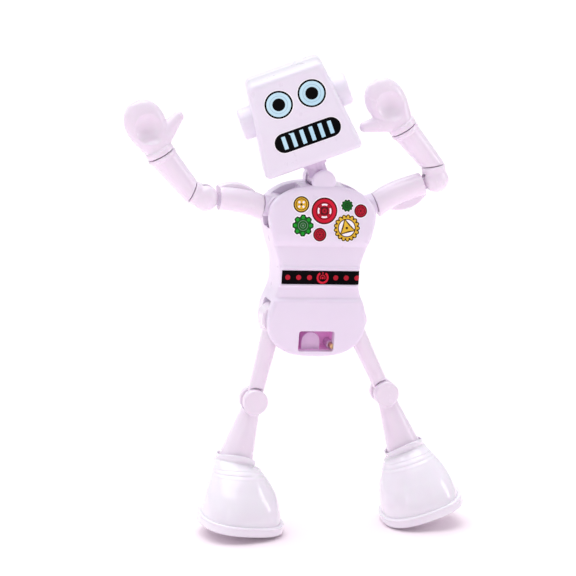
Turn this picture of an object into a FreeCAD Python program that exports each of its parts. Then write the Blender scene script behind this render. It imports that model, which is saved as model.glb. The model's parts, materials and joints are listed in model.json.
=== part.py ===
import FreeCAD, Part
import math
import os

from FreeCAD import Matrix, Placement, Rotation, Vector

# Poseable toy robot figure, standing with both arms raised and its head tilted.
# Frame: +Z up, the robot's face looks along -Y, "left" is the -X side.
# All lengths in millimetres, all angles in degrees.

# ---------------------------------------------------------------- dimensions
# torso, in its own frame: z = 0 at the lowest point of the pelvis plate
TORSO_H = 57.6
SHELL_DY = 1.6              # the limbs' plane lies this far ahead of the shells' parting plane
SHELL_BACK = 8.6            # from the parting plane
SLOT_HALF = 4.25            # half depth of the slot that the limbs swing in
HIP_X, HIP_Z = 13.0, 12.0
SHOULDER_X, SHOULDER_Z = 14.3, 49.4
ARM_SLOT_Z = 42.6           # lower end of the arms' slots
NECK_Z = 58.6
TAB_R = 4.1
WINDOW_W, WINDOW_H, WINDOW_Z, WINDOW_R = 12.2, 7.0, 5.4, 0.8
BELT_Z0, BELT_Z1 = 24.6, 29.4
BELT_SHIFT = 0.9

# head, in its own frame: origin at the middle of the box
HEAD_TOP, HEAD_BOTTOM, HEAD_H, HEAD_D = 25.8, 34.0, 31.9, 17.2
HEAD_R = 2.1
HEAD_WALL = 1.6
HEAD_SPLIT = 2.0
HEAD_RISE = 23.5            # neck pivot to head centre
EAR_R, EAR_X, EAR_Z = 5.3, 18.8, 2.9
EYE_R, EYE_X, EYE_Z = 4.65, 5.7, 7.0
FACE_SHIFT = 0.9            # the face's print sits a little to +X of the middle
MOUTH_R, MOUTH_HALF, MOUTH_Z = 3.3, 8.0, -5.7
PRINT = 0.12                # height of a printed patch

# arms
UPPER_L = {"left": 24.8, "right": 27.3}        # shoulder pivot to elbow pivot
ARM_R = 3.7
BALL_R = 4.6
NECK_L = 4.8                # elbow pivot to forearm seam
FORE_L = 16.3
ELBOW_CUT = {"left": 26.3, "right": 30.4}      # forearm tube against the elbow seam's normal
FORE_R0, FORE_R1 = 3.5, 4.5
CUP_GAP = 1.4               # elbow ball to the hollow end of the upper arm
PEG_R = 1.7
SEAM = 0.3

# legs
THIGH_L = 29.0
SHIN_L = 20.3
KNEE_R = 4.25
TONGUE = 1.25               # half thickness of every hinge tongue
BOOT_H = 21.4
SOLE_T = 3.4
SOLE_A, SOLE_B = 14.8, 14.2 # half length and half width of the sole
SOLE_SQUARE = 0.76          # below 1 squares the sole's outline
SOLE_Y = -7.2
SOLE_X = 1.4                # the sole's middle lies this far inward of the ankle
CUFF_R = 6.85
BOOT_SPLAY = {"left": 9.5, "right": 4.0}       # shin axis against the sole's normal

PIN_R = 1.1
PIN_FIT = 0.05

# ---------------------------------------------------------------- rest pose
LEAN = 3.4                  # torso lean towards +X
HEAD_TILT = -19.5           # world, towards -X
HEAD_YAW = -10.0            # face turned towards -X
UPPER_ANG = {"left": 9.6, "right": 18.9}       # above the horizontal
ELBOW_ANG = {"left": 25.3, "right": 98.8}     # direction of the elbow's stub
WRIST_CUT = {"left": 10.1, "right": -7.6}      # wrist seam's normal against the tube
BULGE_UP = {"left": 1.0, "right": -1.15}
BULGE_X = {"left": 14.6, "right": 16.2}
THIGH_ANG = {"left": 14.6, "right": 24.794}     # outward of the vertical
SHIN_ANG = {"left": 17.3, "right": 19.9}
TOE_OUT = {"left": -7.0, "right": 0.0}
FINGER = 2.0                # finger direction against the wrist seam's normal
TORSO_Z = 58.0              # first guess of the pelvis height, corrected below

X, Y, Z = Vector(1, 0, 0), Vector(0, 1, 0), Vector(0, 0, 1)
O = Vector(0, 0, 0)


# ---------------------------------------------------------------- helpers
def rot(axis, deg, at=O):
    return Placement(Vector(0, 0, 0), Rotation(axis, deg), at)


def move(x, y, z):
    return Placement(Vector(x, y, z), Rotation())


def put(shape, placement):
    s = shape.copy()
    s.transformShape(placement.toMatrix(), True)
    return s


def box(x0, x1, y0, y1, z0, z1):
    return Part.makeBox(x1 - x0, y1 - y0, z1 - z0, Vector(x0, y0, z0))


def cyl(p, d, r, h):
    return Part.makeCylinder(r, h, p, d)


def cyl_y(x, z, r, y0, y1):
    return Part.makeCylinder(r, y1 - y0, Vector(x, y0, z), Y)


def cone(p, d, r0, r1, h):
    return Part.makeCone(r0, r1, h, p, d)


def ball(p, r):
    return Part.makeSphere(r, p)


def lemon(p, d, half, sag):
    """A spindle: an arc of the given half length and sagitta turned about its chord, along d."""
    arc = Part.Arc(Vector(-half, 0, 0), Vector(0, 0, sag), Vector(half, 0, 0)).toShape()
    chord = Part.makeLine(Vector(half, 0, 0), Vector(-half, 0, 0))
    solid = Part.Face(Part.Wire([arc, chord])).revolve(O, X, 360)
    return put(solid, Placement(p, Rotation(X, d)))


def ellipse_wire(at, n, across, half_across, half_deep):
    """An ellipse round the point at, in the plane square to n, with one axis along across."""
    deep = n.cross(across)
    big, small, major = (half_across, half_deep, across) if half_across > half_deep else (half_deep, half_across, deep)
    e = Part.Ellipse(at + major * big, at + n.cross(major) * small, at)
    return Part.Wire(e.toShape())


def one(shape):
    """The largest solid of a boolean's result."""
    solids = sorted(shape.Solids, key=lambda s: -s.Volume)
    return solids[0]


def fuse(shapes):
    s = shapes[0].multiFuse(shapes[1:]) if len(shapes) > 1 else shapes[0]
    return s.removeSplitter()


def half_space(p, n, size=80.0):
    """A block that fills the side of the plane through p that n points to."""
    b = box(-size, size, -size, size, 0, size)
    r = Rotation(Z, n)
    return put(b, Placement(p, r))


def spline_prism(points, y0, y1):
    c = Part.BSplineCurve()
    c.interpolate(Points=[Vector(x, y0, z) for x, z in points], PeriodicFlag=True)
    face = Part.Face(Part.Wire(c.toShape()))
    return face.extrude(Vector(0, y1 - y0, 0))


def poly_prism_x(points, x0, x1):
    """Extrudes a polygon given as (y, z) along X."""
    v = [Vector(x0, y, z) for y, z in points]
    face = Part.Face(Part.makePolygon(v + v[:1]))
    return face.extrude(Vector(x1 - x0, 0, 0))


def poly_prism_y(points, y0, y1):
    v = [Vector(x, y0, z) for x, z in points]
    face = Part.Face(Part.makePolygon(v + v[:1]))
    return face.extrude(Vector(0, y1 - y0, 0))


def mirrored(shape):
    return shape.mirror(O, X)


def dir2(deg):
    return Vector(math.cos(math.radians(deg)), 0, math.sin(math.radians(deg)))


# ---------------------------------------------------------------- rest frames
TORSO = Placement(Vector(0, 0, TORSO_Z), Rotation(Y, LEAN))
NECK_P = TORSO.multVec(Vector(0, 0, NECK_Z))
NECK = Placement(NECK_P, Rotation(Y, HEAD_TILT))
HEAD = NECK.multiply(move(0, 0, HEAD_RISE)).multiply(rot(Z, HEAD_YAW))


def side_sign(side):
    return -1.0 if side == "left" else 1.0


def arm_points(side):
    """The arm's pivots and directions in the world, mirrored to the +X side."""
    s = side_sign(side)
    sh = TORSO.multVec(Vector(s * SHOULDER_X, 0, SHOULDER_Z))
    sh = Vector(s * sh.x, sh.y, sh.z)
    u = dir2(UPPER_ANG[side])
    el = sh + u * UPPER_L[side]
    n = dir2(ELBOW_ANG[side])
    c0 = el + n * NECK_L
    tube_ang = ELBOW_ANG[side] + ELBOW_CUT[side]
    t = dir2(tube_ang)
    wr = c0 + t * FORE_L
    w_ang = tube_ang + WRIST_CUT[side]
    return {"sh": sh, "u": u, "el": el, "n": n, "c0": c0, "t": t, "wr": wr,
            "w": dir2(w_ang), "w_ang": w_ang, "tube_ang": tube_ang}


def leg_frames(side):
    s = side_sign(side)
    hip = TORSO.multVec(Vector(s * HIP_X, 0, HIP_Z))
    thigh = Placement(hip, Rotation(Y, -s * THIGH_ANG[side]))
    knee = thigh.multVec(Vector(0, 0, -THIGH_L))
    shin = Placement(knee, Rotation(Y, -s * SHIN_ANG[side]))
    ankle = shin.multVec(Vector(0, 0, -SHIN_L))
    foot = Placement(ankle, shin.Rotation)
    foot = foot.multiply(rot(Z, s * TOE_OUT[side]))
    foot = foot.multiply(rot(Y, s * BOOT_SPLAY[side]))
    return {"hip": hip, "thigh": thigh, "knee": knee, "shin": shin, "ankle": ankle, "foot": foot}


# ---------------------------------------------------------------- torso
HALF = [(3.4, 0.08), (8.2, 0.8), (12.3, 2.7), (15.0, 5.4), (16.4, 8.6), (16.75, 11.8),
        (16.4, 15.2), (15.4, 18.7), (14.3, 21.6), (13.7, 24.2), (13.6, 27.0), (13.8, 30.2),
        (14.6, 33.6), (15.9, 37.2), (17.2, 41.8), (18.1, 45.6), (18.2, 48.6), (17.2, 51.4),
        (14.9, 53.9), (11.2, 56.0), (6.2, 57.25)]
OUTLINE = [(0, 0)] + HALF + [(0, TORSO_H)] + [(-x, z) for x, z in reversed(HALF)]

# front face seen from the side, as (y, z), from the top down
FRONT_FACE = [(-6.6, 66.0), (-7.3, 57.6), (-9.3, 41.0), (-9.1, 38.8), (-8.1, 37.4), (-8.4, 30.4),
         (-8.9, 30.2), (-8.9, BELT_Z1), (-8.4, BELT_Z1), (-8.4, BELT_Z0), (-8.9, BELT_Z0),
         (-8.9, 23.8), (-8.4, 23.6), (-8.0, 19.7), (-9.1, 18.8), (-9.3, 12.0), (-8.5, 0.0), (-8.3, -2.0)]


FRONT = [(y + SHELL_DY, z) for y, z in FRONT_FACE]


def scaled(points, sx, sz):
    mid = TORSO_H / 2
    return [(x * sx, mid + (z - mid) * sz) for x, z in points]


def limb_cuts():
    """The inside cavity, then the slots of the arms, legs and neck and the bores of their pins."""
    k = SLOT_HALF
    cavity = spline_prism(scaled(OUTLINE, 0.89, 0.94), -6.4 + SHELL_DY, 6.7 + SHELL_DY)
    cavity = cavity.common(box(-30, 30, -12, 12, 20.5, 54.6))
    out = [cavity, box(-30, 30, -k, k, -3, 18.2)]
    for s in (-1, 1):
        x0, x1 = sorted((s * 7.6, s * 30))
        out.append(box(x0, x1, -k, k, ARM_SLOT_Z, 70))
        out.append(cyl_y(s * SHOULDER_X, SHOULDER_Z, PIN_R, *PIN_SPAN))
        out.append(cyl_y(s * HIP_X, HIP_Z, PIN_R, *PIN_SPAN))
    out.append(cyl_y(0, NECK_Z, TAB_R + 0.4, -k, k))
    out.append(cyl_y(0, NECK_Z, PIN_R, *NECK_SPAN))
    return out


PIN_SPAN = (-5.9, 7.4)
NECK_SPAN = (-4.7, 7.0)


def window_cut():
    w, h, r = WINDOW_W / 2, WINDOW_H / 2, WINDOW_R
    b = box(-w, w, -12, -3, WINDOW_Z - h, WINDOW_Z + h)
    edges = [e for e in b.Edges if abs(e.tangentAt(e.FirstParameter).y) > 0.9]
    return b.makeFillet(r, edges)


SCREWS = [(-7.6, 3.5), (6.0, 3.5), (-9.5, 33.0), (9.5, 33.0)]


def torso_pieces():
    q = SHELL_DY
    plate = spline_prism(OUTLINE, -12, q)
    keep = poly_prism_x(FRONT + [(8, -2), (8, 66)], -30, 30)
    front = plate.common(keep)
    tab = cyl_y(0, NECK_Z, TAB_R, -7.0 + q, -SLOT_HALF)
    front = front.fuse(tab)
    cuts = limb_cuts()
    bosses = [cyl_y(x, z, 2.1, -7.2 + q, q) for x, z in SCREWS[2:]]
    front = front.cut(cuts[0]).fuse(bosses)
    front = front.cut(Part.Compound(cuts[1:])).cut(window_cut())
    front = front.cut(box(-30, 30, -8.41 + q, -8.0 + q, BELT_Z0, BELT_Z1))
    screws = []
    for x, z in SCREWS:
        shank = cyl_y(x, z, 0.85, -6.0, 8.6)
        head = cyl_y(x, z, 1.8, 8.6, 9.7)
        cross = box(x - 1.2, x + 1.2, 9.2, 12, z - 0.25, z + 0.25).fuse(
            box(x - 0.25, x + 0.25, 9.2, 12, z - 1.2, z + 1.2))
        screws.append(one(shank.fuse(head).cut(cross)))
        front = front.cut(cyl_y(x, z, 0.85, -6.0, 3.0))
    front = one(front)

    back = spline_prism(OUTLINE, q, SHELL_BACK + q)
    edges = [e for e in back.Edges if e.BoundBox.YMin > SHELL_BACK + q - 0.01]
    back = back.makeFillet(1.6, edges)
    back = back.fuse(cyl_y(0, NECK_Z, TAB_R, SLOT_HALF, 8.4))
    back = back.cut(cuts[0])
    posts = [cyl_y(x, z, 2.1, q, 9.0) for x, z in SCREWS[2:]]
    back = back.fuse(posts).cut(Part.Compound(cuts[1:]))
    for x, z in SCREWS:
        back = back.cut(cyl_y(x, z, 0.85, -1, 9)).cut(cyl_y(x, z, 1.8, 8.6, 12))
    back = one(back)

    belt_face = spline_prism(OUTLINE, -8.6 + q, -8.41 + q)
    belt = belt_face.common(box(-30, 30, -8.6 + q, -8.41 + q, BELT_Z0, BELT_Z1))
    mid = (BELT_Z0 + BELT_Z1) / 2
    y = -8.6 + q
    buckle = cyl_y(BELT_SHIFT, mid, 2.15, y - PRINT, y)
    studs = [cyl_y(BELT_SHIFT + x, mid, 0.95, y - PRINT, y)
             for x in (-11.9, -8.2, -4.5, 4.5, 8.1, 11.75)]

    # printed discs lie on the sloping chest plane
    run, rise = 9.3 - 7.3, 57.6 - 41.0
    slope = math.atan2(run, rise)
    out_of = Vector(0, -math.cos(slope), math.sin(slope))
    discs = []
    for x, z, r in GEARS:
        y = -7.3 + q - (57.6 - z) * run / rise
        discs.append(Part.makeCylinder(r, PRINT, Vector(x, y, z), out_of))

    # domed post in the chamber behind the window, which fills the space between the leg slots
    post = box(-4.3, 1.9, -SLOT_HALF, SLOT_HALF, 1.2, 4.9).fuse(
        cyl_y(-1.2, 4.9, 3.1, -SLOT_HALF, SLOT_HALF))
    post = post.common(box(-10, 10, -SLOT_HALF, SLOT_HALF, 1.2, 30))
    chamber = box(-7.0, 7.0, -SLOT_HALF, SLOT_HALF, 1.2, 16.5)
    core = post.fuse(chamber.cut(box(-6.4, 6.4, -SLOT_HALF - 1, 1.6, 2.1, 12.5)))
    for x, z in SCREWS[:2]:
        core = core.cut(cyl_y(x, z, 0.85, -6, 8))
    core = one(core.removeSplitter())
    pins = {"neck_pin": cyl_y(0, NECK_Z, PIN_R, *NECK_SPAN)}
    for s, side in ((-1, "left"), (1, "right")):
        pins[f"shoulder_pin_{side}"] = cyl_y(s * SHOULDER_X, SHOULDER_Z, PIN_R, *PIN_SPAN)
        pins[f"hip_pin_{side}"] = cyl_y(s * HIP_X, HIP_Z, PIN_R, *PIN_SPAN)
    return {
        "torso_front_shell": front,
        "torso_back_shell": back,
        "waist_belt": one(belt),
        "belt_buckle": buckle,
        "belt_studs": Part.Compound(studs),
        "chest_gear_prints": Part.Compound(discs),
        "hip_core": core,
        "shell_screws": Part.Compound(screws),
        **pins,
    }


# x, z, radius of each printed gear on the chest
GEARS = [(-8.1, 51.4, 2.7), (0.2, 49.4, 4.4), (7.7, 51.4, 2.05), (12.4, 49.7, 2.2),
         (-7.0, 44.2, 3.6), (-1.15, 41.4, 2.25), (8.0, 43.9, 4.5)]


# ---------------------------------------------------------------- neck and head
def neck_piece():
    """In the neck's frame: origin at the neck pivot, z along the post."""
    barrel = cyl_y(0, 0, 3.7, -3.9, 3.9)
    post = cyl(O, Z, 3.2, HEAD_RISE - HEAD_H / 2 + HEAD_WALL + 2.2)
    top = HEAD_RISE - HEAD_H / 2 + HEAD_WALL + 0.35
    flange = cyl(Vector(0, 0, top), Z, 4.8, 1.3)
    collar = cyl(Vector(0, 0, top - HEAD_WALL - 2.3), Z, 4.0, 1.6)
    s = barrel.fuse([post, flange, collar]).removeSplitter()
    return one(s.cut(cyl_y(0, 0, PIN_R + PIN_FIT, -5, 5)))


def head_box(inset):
    a, b, h = HEAD_TOP / 2 - inset, HEAD_BOTTOM / 2 - inset, HEAD_H / 2 - inset
    d = HEAD_D / 2 - inset
    s = poly_prism_y([(-b, -h), (b, -h), (a, h), (-a, h)], -d, d)
    return s.makeFillet(max(HEAD_R - inset * 0.8, 0.6), s.Edges)


def head_pieces():
    shell = head_box(0).cut(head_box(HEAD_WALL))
    shell = shell.cut(cyl(Vector(0, 0, -HEAD_H / 2 - 3), Z, 3.2 + 0.3, 8))
    front = one(shell.common(box(-30, 30, -30, HEAD_SPLIT, -30, 30)))
    back = one(shell.common(box(-30, 30, HEAD_SPLIT, 30, -30, 30)))
    out = {"head_front_shell": front, "head_back_shell": back}
    solid = head_box(0)
    for s, name in ((-1, "ear_left"), (1, "ear_right")):
        e = cyl(Vector(s * 11.0, 0, EAR_Z), Vector(s, 0, 0), EAR_R, EAR_X - 11.0)
        rim = [k for k in e.Edges if abs(k.BoundBox.XMin - s * EAR_X) < 0.01 and k.BoundBox.XLength < 0.01]
        e = e.makeFillet(0.9, rim)
        out[name] = one(e.cut(solid))
    y = -HEAD_D / 2
    for s, name in ((-1, "eye_print_left"), (1, "eye_print_right")):
        out[name] = cyl_y(s * EYE_X + FACE_SHIFT, EYE_Z, EYE_R, y - PRINT, y)
    f = FACE_SHIFT
    m = box(f - MOUTH_HALF, f + MOUTH_HALF, y - PRINT, y, MOUTH_Z - MOUTH_R, MOUTH_Z + MOUTH_R)
    m = m.fuse([cyl_y(f - MOUTH_HALF, MOUTH_Z, MOUTH_R, y - PRINT, y),
                cyl_y(f + MOUTH_HALF, MOUTH_Z, MOUTH_R, y - PRINT, y)]).removeSplitter()
    out["mouth_print"] = one(m)
    return out


# ---------------------------------------------------------------- arms, built on the +X side
# the mitten's sections: distance from the wrist, half width, half depth
PALM = [(1.0, 4.0, 3.7), (4.5, 5.3, 4.0), (8.0, 6.3, 4.0), (12.0, 6.7, 3.7), (15.3, 6.0, 3.2),
        (17.8, 4.3, 2.4), (19.2, 2.2, 1.4)]
THUMB = (4.8, 3.0, 3.5, 7.9, 10.9, 1.8)     # root x, z and radius, tip x, z and radius


def arm_pieces(side):
    a = arm_points(side)
    sh, u, el, n, c0, t, wr, w = (a[k] for k in ("sh", "u", "el", "n", "c0", "t", "wr", "w"))
    A = Placement(sh, Rotation(Y, -UPPER_ANG[side]))    # x along the arm, z across it, upward
    up = BULGE_UP[side]
    L = UPPER_L[side]

    hub = cyl_y(0, 0, 4.1, -3.9, 3.9)
    stub = cyl(Vector(2.0, 0, 0), X, 3.5, 2.9)
    peg = cyl(Vector(4.0, 0, 0), X, PEG_R, 7.0)
    hub = hub.fuse([stub, peg]).cut(cyl_y(0, 0, PIN_R + PIN_FIT, -5, 5))

    # the tube arches over: steeper at the shoulder, level at the elbow
    arch = [(5.2, -0.9, 4.2), (9.5, 0.15, 4.1), (14.5, 0.55, 4.0), (20.0, 0.35, 3.9), (L - 0.6, 0.0, 3.85)]
    rings = []
    for x, z, r in arch:
        rings.append(Part.Wire(Part.makeCircle(r, Vector(x, 0, z), X)))
    tube = Part.makeLoft(rings, True)
    tube = one(tube)
    # the swelling of the rear half
    bulge = lemon(Vector(BULGE_X[side], 1.7, up * 2.6), X, 8.4, 3.5)
    bulge = bulge.common(box(0, 40, 0, 10, -20, 20))
    whole = tube.fuse(bulge)
    cup = ball(Vector(L, 0, 0), BALL_R + CUP_GAP)
    whole = whole.cut(cup)
    whole = whole.cut(box(-20, 5.2, -20, 20, -20, 20))
    whole = whole.common(box(5.2, L, -20, 20, -20, 20))
    bore = cyl(Vector(0, 0, 0), X, PEG_R + 0.08, 11.4)
    whole = whole.cut(bore)
    eye = cyl_y(L, 0, 2.3, -TONGUE, TONGUE)
    web = box(L - 7.5, L, -TONGUE, TONGUE, -1.8, 1.8)
    tongue = eye.fuse(web).cut(cyl_y(L, 0, PIN_R * 0.9, -9, 9))
    front = one(whole.common(box(-50, 50, -20, 0, -50, 50)).cut(box(L - 7.5, 60, -TONGUE, TONGUE, -1.8, 1.8)))
    back = one(whole.common(box(-50, 50, 0, 20, -50, 50)).cut(box(L - 7.5, 60, -TONGUE, TONGUE, -1.8, 1.8)))
    tongue = one(tongue)

    pin = cyl_y(L, 0, PIN_R * 0.9, -3.4, 3.4)

    # elbow ball with its slot, stub and peg
    stub_r = FORE_R0 / math.cos(math.radians(ELBOW_CUT[side]))
    knob = ball(el, BALL_R).fuse(cyl(el, n, stub_r - 0.05, NECK_L - SEAM / 2))
    knob = knob.cut(half_space(el + n * (NECK_L - SEAM / 2), n))
    slab = box(-30, 30, -TONGUE - 0.3, TONGUE + 0.3, -30, 30)
    slab = slab.common(box(-30, 30, -30, 30, -30, 2.5))
    slab = put(slab, Placement(el, Rotation(Z, n)))
    knob = knob.cut(slab)
    knob = one(knob.removeSplitter())
    knob = knob.cut(cyl_y(el.x, el.z, PIN_R * 0.9 + PIN_FIT, -3.5, 3.5))
    fpeg = cyl(el + n * (NECK_L - SEAM / 2 - 0.6), n, PEG_R, 3.6)
    knob = one(knob.fuse(fpeg).removeSplitter())

    # forearm tube, cut square to the elbow stub at one end and to the wrist at the other
    k = (FORE_R1 - FORE_R0) / FORE_L
    lo, hi = -4.0, FORE_L + 4.0
    tube = cone(c0 + t * lo, t, FORE_R0 + k * lo, FORE_R0 + k * hi, hi - lo)
    keep = half_space(c0 + n * (SEAM / 2), n).common(half_space(wr - w * (SEAM / 2), w * -1))
    fore = tube.common(keep)
    fore = fore.cut(cyl(el, n, PEG_R + 0.08, NECK_L + 3.3))
    fore = fore.cut(cyl(wr - w * 4.6, w, PEG_R + 0.08, 10))
    # raised bead at the wrist, square to the wrist's own axis
    bead_r = FORE_R1 / math.cos(math.radians(WRIST_CUT[side])) + 0.3
    rim = cyl(wr + w * -1.4, w, bead_r, 1.4 - SEAM / 2)
    fore = one(fore.fuse(rim.cut(cyl(wr - w * 4.6, w, PEG_R + 0.08, 10))).removeSplitter())

    # hand in its own frame: x along the wrist's normal, z towards the thumb side
    H = Placement(wr, Rotation(Y, -a["w_ang"]))
    f = dir2(FINGER)
    side_d = dir2(FINGER + 90)
    cuffp = cyl(Vector(SEAM / 2, 0, 0), X, 4.75, 2.0)
    rings = [ellipse_wire(f * d, f, side_d, wide, deep) for d, wide, deep in PALM]
    palm = one(Part.makeLoft(rings, True))
    hollow = ball(f * 10.0 + Vector(0, -8.1, 0), 6.9)
    p0, p1 = Vector(THUMB[0], 0, THUMB[1]), Vector(THUMB[3], 0, THUMB[4])
    thumb = cone(p0, p1 - p0, THUMB[2], THUMB[5], (p1 - p0).Length).fuse([ball(p0, THUMB[2]), ball(p1, THUMB[5])])
    hpeg = cyl(Vector(-4.4, 0, 0), X, PEG_R, 6.0)
    hand = fuse([cuffp, palm, thumb])
    hand = hand.cut(hollow)
    hand = one(hand.fuse(hpeg).removeSplitter())

    out = {
        "shoulder_hub": put(one(hub.removeSplitter()), A),
        "upper_arm_front": put(front, A),
        "upper_arm_rear": put(back, A),
        "elbow_tongue": put(tongue, A),
        "elbow_pin": put(pin, A),
        "elbow_ball": knob,
        "forearm": fore,
        "hand": put(hand, H),
    }
    if side == "left":
        out = {k: mirrored(v) for k, v in out.items()}
    return {f"{k}_{side}": v for k, v in out.items()}


# ---------------------------------------------------------------- legs
def leg_pieces(side):
    f = leg_frames(side)
    s = side_sign(side)
    L = THIGH_L
    knuckle = cyl_y(0, 0, 5.0, -3.9, 3.9)
    tube = cone(Vector(0, 0, -L + 1.0), Z, 2.55, 3.15, L - 1.0)
    body = knuckle.fuse(tube)
    clear = cyl_y(0, -L, KNEE_R + 0.45, -20, -TONGUE).fuse(cyl_y(0, -L, KNEE_R + 0.45, TONGUE, 20))
    body = body.cut(clear).cut(box(-20, 20, -20, 20, -L - 20, -L + 2.0))
    eye = cyl_y(0, -L, 3.6, -TONGUE, TONGUE).fuse(box(-2.4, 2.4, -TONGUE, TONGUE, -L, -L + 5.6))
    thigh = body.fuse(eye).cut(cyl_y(0, 0, PIN_R + PIN_FIT, -9, 9)).cut(cyl_y(0, -L, PIN_R, -9, 9))
    thigh = one(thigh.removeSplitter())
    pin = cyl_y(0, -L, PIN_R, -3.2, 3.2)

    cheeks = []
    for y0, y1, out_y in ((-4.3, -TONGUE - 0.3, -4.3), (TONGUE + 0.3, 4.3, 4.3)):
        c = cyl_y(0, 0, KNEE_R, y0, y1)
        rim = [e for e in c.Edges if abs(e.BoundBox.YMin - out_y) < 0.01 and e.BoundBox.YLength < 0.01]
        cheeks.append(c.makeFillet(0.7, rim))
    shin = cone(Vector(0, 0, -SHIN_L - 1.2), Z, 5.95, 2.9, SHIN_L - 0.8)
    shin = shin.fuse(cheeks)
    shin = shin.cut(cyl_y(0, 0, 4.3, -TONGUE - 0.3, TONGUE + 0.3))
    shin = shin.cut(box(-1.9 * 2, 1.9 * 2, -TONGUE - 0.3, TONGUE + 0.3, 0, 10))
    shin = shin.cut(cyl_y(0, 0, PIN_R + PIN_FIT, -3.3, 3.3))
    shin = shin.fuse(cyl(Vector(0, 0, -SHIN_L - 7.2), Z, 2.6, 7.0))
    shin = one(shin.removeSplitter())

    # boot, built under the ankle: z along the sole's normal, the shin's axis leans by the splay
    S = rot(Y, -s * BOOT_SPLAY[side])          # carries the shin's axis into the boot's frame
    h = BOOT_H
    inward = -s * SOLE_X
    sole = []
    for i in range(40):
        q = 2 * math.pi * i / 40
        c, d = math.cos(q), math.sin(q)
        px = SOLE_B * math.copysign(abs(c) ** SOLE_SQUARE, c)
        py = SOLE_A * math.copysign(abs(d) ** SOLE_SQUARE, d)
        if py > 0:
            px *= 1 - 0.16 * (py / SOLE_A) ** 1.4
        sole.append(Vector(px + inward, py + SOLE_Y, -h))
    c = Part.BSplineCurve()
    c.interpolate(Points=sole, PeriodicFlag=True)
    pad = Part.Face(Part.Wire(c.toShape())).extrude(Vector(0, 0, SOLE_T))
    rim = [e for e in pad.Edges if e.BoundBox.ZLength < 0.01]
    pad = pad.makeFillet(0.9, rim)

    def ring(z, rx, ry, y, x=0.0):
        e = Part.Ellipse(Vector(x, y, z), max(rx, ry), min(rx, ry)) if rx != ry else Part.Circle(Vector(x, y, z), Z, rx)
        sh = e.toShape()
        if ry > rx:
            sh.rotate(Vector(x, y, z), Z, 90)
        return Part.Wire(sh)

    levels = [(-h + SOLE_T - 0.2, SOLE_B - 1.2, SOLE_A - 1.2, SOLE_Y, inward),
              (-h + 8.2, SOLE_B - 1.7, SOLE_A - 1.9, SOLE_Y + 0.3, inward * 0.95),
              (-h + 12.4, SOLE_B - 2.9, SOLE_A - 3.6, SOLE_Y + 1.3, inward * 0.8), (-h + 16.2, 9.0, 9.2, SOLE_Y + 3.2, inward * 0.5),
              (-2.9, 7.5, 7.6, -1.2, inward * 0.1), (-0.9, 6.2, 6.2, 0.0, 0.0)]
    upper = one(Part.makeLoft([ring(*k) for k in levels], True))
    cuff = put(cyl(Vector(0, 0, -4.0), Z, CUFF_R, 4.3), S)
    tongue = put(cyl(Vector(0, 0, -3.0), Z, CUFF_R, 5.2).common(
        cyl(Vector(0, -9.0, -4.0), Z, 6.6, 12)), S)
    upper = upper.fuse([cuff, tongue])
    upper = upper.cut(put(cone(Vector(0, 0, -2.0), Z, 6.0 + 0.42, 6.0 - 0.9 + 0.42, 8.0), S))
    upper = upper.cut(put(cyl(Vector(0, 0, -8.0), Z, 2.6 + 0.1, 8.0), S))
    upper = upper.cut(pad)
    upper = one(upper.removeSplitter())

    out = {
        f"upper_leg_{side}": put(thigh, f["thigh"]),
        f"knee_pin_{side}": put(pin, f["thigh"]),
        f"lower_leg_{side}": put(shin, f["shin"]),
        f"boot_upper_{side}": put(upper, f["foot"]),
        f"boot_sole_{side}": put(pad, f["foot"]),
    }
    return out


def build():
    parts = {}
    parts.update({k: put(v, TORSO) for k, v in torso_pieces().items()})
    parts["neck_post"] = put(neck_piece(), NECK)
    parts.update({k: put(v, HEAD) for k, v in head_pieces().items()})
    for side in ("left", "right"):
        parts.update(arm_pieces(side))
        parts.update(leg_pieces(side))
    return parts


def model_shift(parts):
    """The move that puts the origin at the middle of the standing surface, under the model's box."""
    low, high = [1e9] * 3, [-1e9] * 3
    for s in parts.values():
        for v in s.tessellate(0.03)[0]:
            for i, c in enumerate((v.x, v.y, v.z)):
                low[i], high[i] = min(low[i], c), max(high[i], c)
    print("size", [round(b - a, 3) for a, b in zip(low, high)])
    return Vector(-(low[0] + high[0]) / 2, -(low[1] + high[1]) / 2, -low[2])


def main():
    os.makedirs("parts", exist_ok=True)
    parts = build()
    shift = model_shift(parts)
    print("shift", tuple(round(v, 4) for v in shift))
    for name, s in parts.items():
        s = s.copy()
        s.translate(shift)
        bad = [] if s.isValid() else ["INVALID"]
        print(f"{name:24s} solids {len(s.Solids)} volume {s.Volume:9.2f}", *bad)
        s.exportStep(f"parts/{name}.step")


main()
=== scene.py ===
import json
import math

import bmesh
import bpy
from mathutils import Matrix, Vector


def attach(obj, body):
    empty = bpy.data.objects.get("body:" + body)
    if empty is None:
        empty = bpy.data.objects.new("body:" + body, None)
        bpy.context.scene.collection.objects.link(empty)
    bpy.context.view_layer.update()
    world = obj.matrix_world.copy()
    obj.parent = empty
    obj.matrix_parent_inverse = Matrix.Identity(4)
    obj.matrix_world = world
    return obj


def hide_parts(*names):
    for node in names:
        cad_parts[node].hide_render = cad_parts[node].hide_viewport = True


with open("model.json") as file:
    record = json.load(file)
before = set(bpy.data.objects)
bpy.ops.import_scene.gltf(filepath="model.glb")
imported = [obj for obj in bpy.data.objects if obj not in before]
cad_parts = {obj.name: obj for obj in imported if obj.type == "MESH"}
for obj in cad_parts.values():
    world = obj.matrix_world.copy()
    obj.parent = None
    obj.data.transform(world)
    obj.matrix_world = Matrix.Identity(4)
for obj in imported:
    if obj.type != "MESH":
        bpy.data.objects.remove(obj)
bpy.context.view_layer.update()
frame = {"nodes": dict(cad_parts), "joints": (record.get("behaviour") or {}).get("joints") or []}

# The looks of a poseable toy robot in glossy moulded plastic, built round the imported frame.
# Pieces are modelled in millimetres in each part's own frame, then placed in metres.

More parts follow.
